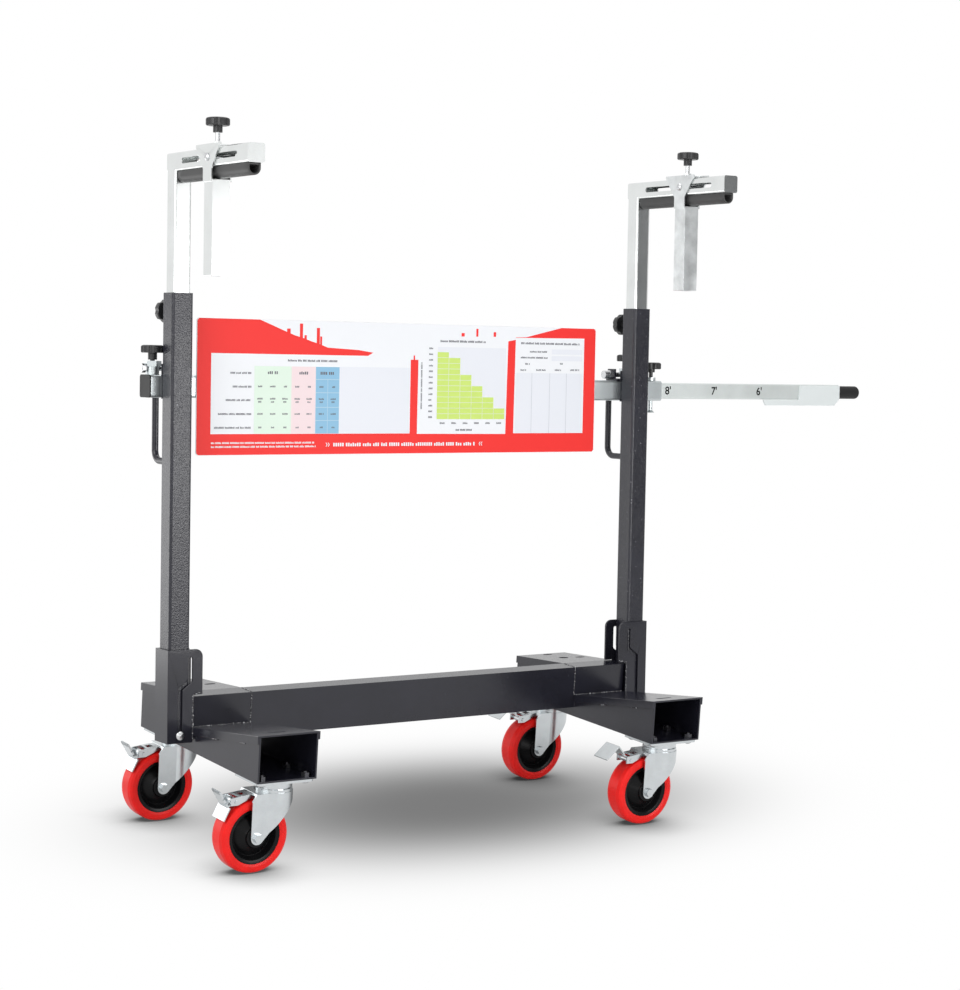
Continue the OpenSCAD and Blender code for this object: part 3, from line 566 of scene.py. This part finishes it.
def mark_column(colour, u, v0, v1, height, rng):
    """A row of small marks that runs up the panel."""
    v = v0
    while v < v1:
        for _ in range(rng.randint(*MARK_GROUP)):
            if v < v1:
                ink_box(MARK, colour, u - height / 2, v, u + height / 2, v + MARK_W * height)
            v += MARK_STEP * height
        v += MARK_GAP * height


def draw_guide_table(rng):
    """The table on the left, with three tinted columns."""
    ink_box(BOX, WHITE, 35, 47, 555, 226)
    ink_box(FILL, CARD, 363, 47, 553, 200)
    for colour, u0, u1 in ((PALE, 143, 238), (PINK, 238, 301), (BLUE, 301, 363)):
        ink_box(FILL, colour, u0, 47.5, u1, 199)
    mark_row(GREY, 228, 362, 212.5, 4.6, rng)
    for u, v in ((83, 183), (89, 152.5), (72, 122.5), (53, 91.5), (43.5, 61)):
        mark_row(GREY, u, 136, v, 4.2, rng)
    for u0, u1 in ((177, 205), (258, 281), (313, 352)):
        mark_row(GREY, u0, u1, 184.5, 6.4, rng)
    for u, wide in ((158.5, 12), (191, 15), (222.5, 8), (254, 13), (285, 9), (317, 13), (348, 8)):
        mark_row(GREY, u - wide / 2, u + wide / 2, 153.5, 3.8, rng)
        mark_row(GREY, u - 7.5, u + 7.5, 126, 3.8, rng)
        mark_row(GREY, u - 5, u + 5, 119, 3.8, rng)
        mark_row(GREY, u - 7, u + 7, 92, 3.8, rng)
        mark_row(GREY, u - 4, u + 4, 61.5, 3.8, rng)
    for v in (170.5, 140.3, 107.1, 77.2):
        ink_box(MARK, PALE_LINE, 301, v - 0.7, 363, v + 0.7)
    ink_box(MARK, PALE_LINE, 332, 47.5, 333.2, 170.5)


def draw_step_chart(rng):
    """The chart in the middle: six columns of green cells that step down to the right."""
    ink_box(FILL, CARD, 630, 80.5, 825, 250)
    edges = (629.5, 662, 694.5, 727, 759, 791.5, 824)
    for k, count in enumerate((12, 11, 8, 6, 4, 2)):
        for c in range(count):
            v = 80.5 + 13.2 * c
            ink_box(MARK, GREEN, edges[k], v, edges[k + 1] - 0.9, v + 12.3)
        mid = (edges[k] + edges[k + 1]) / 2
        mark_row(GREY, mid - 7, mid + 7, 71, 3.8, rng)
    for c in range(13):
        mark_row(GREY, 606, 618, 85.3 + 13.42 * c, 3.8, rng)
    mark_column(GREY, 586, 104, 212, 3.6, rng)
    mark_row(GREY, 637, 768, 264, 4.8, rng)
    mark_row(GREY, 684, 731, 55, 4.4, rng)


def draw_check_card(rng):
    """The ruled card on the right."""
    ink(BOX, WHITE, [(850, 46.5), (1058, 46.5), (1058, 278), (853, 276)])
    ink_box(FILL, CARD, 855, 47, 1054, 192)
    ink_box(FILL, CARD, 960, 238, 1053, 250)
    ink_box(FILL, CARD, 960, 222, 1053, 234)
    mark_row(GREY, 868.5, 1043, 263.5, 4.8, rng)
    for u0, u1, v in ((895, 949, 243.5), (868.5, 948, 229), (882, 896, 214), (985.5, 997, 215.5),
                      (868.5, 887, 199), (915, 943, 199.5), (970, 989, 200), (1017, 1046, 200.5)):
        mark_row(GREY, u0, u1, v, 4.0, rng)
    for u in (902.3, 955.5, 1005.8):
        ink_box(MARK, LINE, u - 0.6, 47, u + 0.6, 192)


def draw_panel():
    """The red border, the white field with its broken upper edge, the three blocks and the lower rows."""
    rng = random.Random(PANEL_SEED)
    ink(BACK, RED, [
        (0.5, 5), (5, 0.5), (1088, 0.5), (1092.5, 5), (1092.5, 298), (1088, 302.5), (5, 302.5), (0.5, 298),
    ])
    ink(FIELD, WHITE, [
        (156, 302.5), (221, 278), (246, 269), (266, 264), (290, 256), (312, 250), (332, 243), (413, 239),
        (453, 233.5), (440, 227), (440, 226), (555, 226), (555, 219), (576.5, 219), (575.3, 46), (827, 45),
        (831, 267), (853, 271), (853, 277), (884, 278), (989, 302.5),
    ])
    for u, wide, low, high in (
        (225, 9, 270, 284), (258, 8, 262, 296), (270, 6, 260, 270), (302, 8, 250, 287), (311, 5, 246, 268),
        (563, 4, 214, 229), (696, 9, 276, 284), (738, 6, 276.5, 295), (788, 7, 277, 288),
    ):
        ink_box(BOX, RED, u, low, u + wide, high)
    draw_guide_table(rng)
    draw_step_chart(rng)
    draw_check_card(rng)
    mark_row(WHITE, 36.7, 301, 27, 4.0, rng)
    mark_row(WHITE, 36.7, 305, 18.5, 4.0, rng)
    mark_row(WHITE, 349, 740, 22, 8.0, rng)
    for u in (329, 334.5):
        ink(MARK, WHITE, [(u, 17.5), (u + 2, 17.5), (u + 5, 22), (u + 2, 26.5), (u, 26.5), (u + 3, 22)])
    for u in (761, 755.5):
        ink(MARK, WHITE, [(u, 17.5), (u - 3, 22), (u, 26.5), (u - 2, 26.5), (u - 5, 22), (u - 2, 17.5)])


def print_panel():
    """All inks as one piece, each layer a little in front of the one before."""
    verts = []
    faces = []
    for layer, _, points in ink_faces:
        first = len(verts)
        n = PANEL_FRONT - INK_STEP * layer
        verts += [post_point(PANEL_X0 + u / MM_PER_M, n, PANEL_T0 + v / MM_PER_M) for u, v in points]
        faces.append(tuple(range(first, len(verts))))
    piece = new_piece("panel_print", verts, faces, INKS[0], "upper")
    for extra in INKS[1:]:
        piece.data.materials.append(extra)
    for face, (_, colour, _) in zip(piece.data.polygons, ink_faces):
        face.material_index = colour


draw_panel()
print_panel()

# Numbers along the front of the sliding bar.
NUMBERS = (("8", 0.763), ("7", 0.914), ("6", 1.066))
NUMBER_SIZE = 0.028
NUMBER_WEIGHT = 0.0005
NUMBER_LIFT = 0.0002
FACE_TURN = Matrix((
    (1, 0, 0),
    (0, math.sin(LEAN), -math.cos(LEAN)),
    (0, math.cos(LEAN), math.sin(LEAN)),
)).to_4x4()
for digit, x in NUMBERS:
    text = bpy.data.curves.new("bar_number_" + digit, "FONT")
    text.body = digit + "'"
    text.size = NUMBER_SIZE
    text.offset = NUMBER_WEIGHT
    text.align_x = "CENTER"
    text.align_y = "CENTER"
    obj = bpy.data.objects.new("bar_number_" + digit, text)
    scene.collection.objects.link(obj)
    place = post_point(x, RAIL_N - BAR_HALF - NUMBER_LIFT, RAIL_T)
    obj.matrix_world = Matrix.Translation(place) @ FACE_TURN
    text.materials.append(NUMBER_INK)
    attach(obj, "handle")

# Camera, solved from the photograph's straight edges.
CAM_AT = Vector((-3.21830, -4.32614, 1.39960))
YAW = math.radians(34.37)
PITCH = math.radians(6.94)
ROLL = math.radians(3.45)
SENSOR = 36.0
LENS = 82.34
ahead = Vector((math.sin(YAW) * math.cos(PITCH), math.cos(YAW) * math.cos(PITCH), -math.sin(PITCH)))
flat_right = Vector((math.cos(YAW), -math.sin(YAW), 0))
flat_up = flat_right.cross(ahead)
right = flat_right * math.cos(ROLL) + flat_up * math.sin(ROLL)
up = -flat_right * math.sin(ROLL) + flat_up * math.cos(ROLL)
turn = Matrix((right, up, -ahead)).transposed().to_4x4()
cam_data = bpy.data.cameras.new("camera")
cam_data.sensor_width = SENSOR
cam_data.lens = LENS
cam = bpy.data.objects.new("camera", cam_data)
scene.collection.objects.link(cam)
cam.matrix_world = Matrix.Translation(CAM_AT) @ turn
scene.camera = cam
scene.view_settings.view_transform = "Standard"

# Floor: a white sheet with painted shadow: a painted contact shade close to the cart and one painted shadow
# pool fixed under it, not cast by the lamps.
FLOOR_HALF = 30
FLOOR_GREY = (0.8, 0.8, 0.8, 1)
# Painted shadow on the floor: reach and ramp of the painted contact shade, then place, turn, size, edge and
# ramp of the painted shadow pool.
PAINTED_CONTACT_REACH = 0.16
PAINTED_CONTACT_STOPS = [(0.30, (0.10, 0.10, 0.10)), (0.92, (1, 1, 1))]
PAINTED_SHADOW_AT = (-0.243, 0.08, 0.0)
PAINTED_SHADOW_TURN = (0.0, 0.0, 0.035)
PAINTED_SHADOW_SIZE = (0.714, 0.433, 1.0)
PAINTED_SHADOW_EDGE = 3.09
PAINTED_SHADOW_STOPS = [(0.0, (1, 1, 1)), (1.0, (0.205, 0.205, 0.205))]


def white_when_seen(tree, plain, white, out):
    """The white shader for the camera, mirrors and glass, and the plain one for all other light."""
    path = tree.nodes.new("ShaderNodeLightPath")
    seen = path.outputs["Is Camera Ray"]
    for ray in ("Is Glossy Ray", "Is Transmission Ray"):
        total = tree.nodes.new("ShaderNodeMath")
        total.operation = "ADD"
        total.use_clamp = True
        tree.links.new(seen, total.inputs[0])
        tree.links.new(path.outputs[ray], total.inputs[1])
        seen = total.outputs["Value"]
    pick = tree.nodes.new("ShaderNodeMixShader")
    tree.links.new(seen, pick.inputs["Fac"])
    tree.links.new(plain, pick.inputs[1])
    tree.links.new(white, pick.inputs[2])
    tree.links.new(pick.outputs["Shader"], out.inputs["Surface"])


def floor_material():
    """White where it is seen, times a painted contact shade and a painted shadow pool."""
    t = Tree("floor_white_painted_shadow")
    t.set(Base_Color=FLOOR_GREY, Roughness=0.9)
    occlusion = t.add("ShaderNodeAmbientOcclusion", samples=16)
    occlusion.inputs["Distance"].default_value = PAINTED_CONTACT_REACH
    painted_contact = t.ramp(occlusion, "AO", PAINTED_CONTACT_STOPS)
    spread = t.add("ShaderNodeMapping", vector_type="TEXTURE")
    spread.inputs["Location"].default_value = PAINTED_SHADOW_AT
    spread.inputs["Rotation"].default_value = PAINTED_SHADOW_TURN
    spread.inputs["Scale"].default_value = PAINTED_SHADOW_SIZE
    t.link(t.coords, "Object", spread, "Vector")
    reach = t.add("ShaderNodeVectorMath", operation="LENGTH")
    t.link(spread, "Vector", reach, 0)
    steep = t.add("ShaderNodeMath", operation="POWER")
    steep.inputs[1].default_value = PAINTED_SHADOW_EDGE
    t.link(reach, "Value", steep, 0)
    fade = t.add("ShaderNodeMath", operation="POWER")
    fade.inputs[0].default_value = math.exp(-1)
    t.link(steep, "Value", fade, 1)
    painted_shadow = t.ramp(fade, "Value", PAINTED_SHADOW_STOPS)
    shade = t.mix(1.0, (painted_contact, "Color"), (painted_shadow, "Color"), "MULTIPLY")
    glow = t.add("ShaderNodeEmission")
    t.link(*shade, glow, "Color")
    white_when_seen(t.nt, t.shader.outputs["BSDF"], glow.outputs["Emission"], t.out)
    return t.mat


def flat_sheet(name, corners, material):
    """A sheet of the studio, which is no part of the cart."""
    mesh = bpy.data.meshes.new(name)
    mesh.from_pydata(corners, [], [(0, 1, 2, 3)])
    mesh.materials.append(material)
    obj = bpy.data.objects.new(name, mesh)
    scene.collection.objects.link(obj)
    return obj


flat_sheet("floor", [
    (-FLOOR_HALF, -FLOOR_HALF, 0), (FLOOR_HALF, -FLOOR_HALF, 0),
    (FLOOR_HALF, FLOOR_HALF, 0), (-FLOOR_HALF, FLOOR_HALF, 0),
], floor_material())

# World: a soft cool light, white where it is seen.
WORLD_SOFT = (0.95, 0.97, 1.0, 1)
WORLD_SOFT_STRENGTH = 0.55
WORLD_WHITE = (1, 1, 1, 1)
WORLD_WHITE_STRENGTH = 1.0


def background(tree, colour, strength):
    """An even background; gives its output."""
    node = tree.nodes.new("ShaderNodeBackground")
    node.inputs["Color"].default_value = colour
    node.inputs["Strength"].default_value = strength
    return node.outputs["Background"]


world = bpy.data.worlds.new("studio")
scene.world = world
world.use_nodes = True
world.node_tree.nodes.clear()
white_when_seen(
    world.node_tree,
    background(world.node_tree, WORLD_SOFT, WORLD_SOFT_STRENGTH),
    background(world.node_tree, WORLD_WHITE, WORLD_WHITE_STRENGTH),
    world.node_tree.nodes.new("ShaderNodeOutputWorld"),
)


# Lamps, and two grey cards that show as bands in the bright tubes.
def soft_box(name, at, aim, size, power):
    """A flat lamp at a place, turned to a point; power is in watts."""
    lamp = bpy.data.lights.new(name, "AREA")
    lamp.shape = "RECTANGLE"
    lamp.size, lamp.size_y = size
    lamp.energy = power
    obj = bpy.data.objects.new(name, lamp)
    scene.collection.objects.link(obj)
    obj.location = at
    obj.rotation_euler = (Vector(aim) - Vector(at)).to_track_quat("-Z", "Y").to_euler()


soft_box("left", at=(-3.6, -0.9, 2.2), aim=(-0.6, 0, 0.8), size=(2.0, 2.2), power=40)
soft_box("front_low", at=(0.5, -3.4, 1.06), aim=(-0.6, 0.1, 0.95), size=(2.2, 1.0), power=42)
soft_box("near_camera", at=(-3.0, -3.9, 1.3), aim=(-0.5, 0, 0.9), size=(0.9, 1.3), power=6)
soft_box("top", at=(-0.2, 0.3, 4.0), aim=(-0.2, 0, 0.6), size=(2.6, 2.6), power=42)
soft_box("back_left", at=(-1.95, 1.62, 0.5), aim=(-1.0, 0.05, 0.6), size=(1.1, 0.96), power=5.6)

CARD_GREY = moulded("card_grey", (0.27, 0.27, 0.27), rough=(0.8, 0.9), grain_scale=50.0, depth=0.0002)
CARD_LOW = 0.3
CARD_TOP = 3.6


def grey_card(name, corner_a, corner_b):
    """An upright card between two places on the floor, hidden from the camera."""
    card = flat_sheet(name, [
        (*corner_a, CARD_LOW), (*corner_b, CARD_LOW), (*corner_b, CARD_TOP), (*corner_a, CARD_TOP),
    ], CARD_GREY)
    card.visible_camera = False


grey_card("card_front", (1.8, -3.3), (3.6, -3.3))
grey_card("card_side", (4.4, -0.6), (4.4, 2.0))
